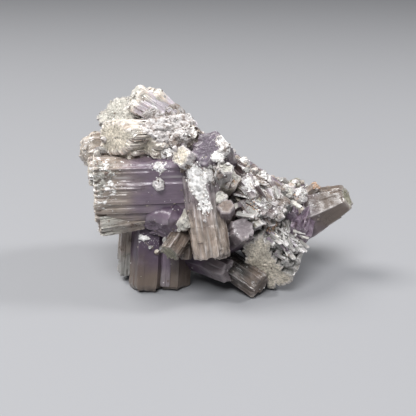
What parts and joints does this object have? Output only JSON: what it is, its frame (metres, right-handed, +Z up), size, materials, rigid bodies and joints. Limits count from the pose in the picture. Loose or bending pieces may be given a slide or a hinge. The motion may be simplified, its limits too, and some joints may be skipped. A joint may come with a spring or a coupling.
{
  "type": "aragonite crystal cluster",
  "caption": "Cluster of stubby six-sided aragonite crystals grown through one another, violet at the middle and tan at the ends, resting on its lower crystals.",
  "frame": {"origin": "under the middle of the cluster's outline, on the surface that it rests on", "axes": "+X to the right along the cluster's longest side, +Y to the back, +Z up"},
  "size_m": [0.0647, 0.0426, 0.0468],
  "materials": {
    "crystal": "waxy to silky aragonite, violet brown, frosted on the end faces",
    "crust": "sugary white carbonate crust",
    "rust": "orange brown iron stain grains"
  },
  "bodies": {
    "root": {"crystal_cluster": "crystal"}
  },
  "joints": []
}
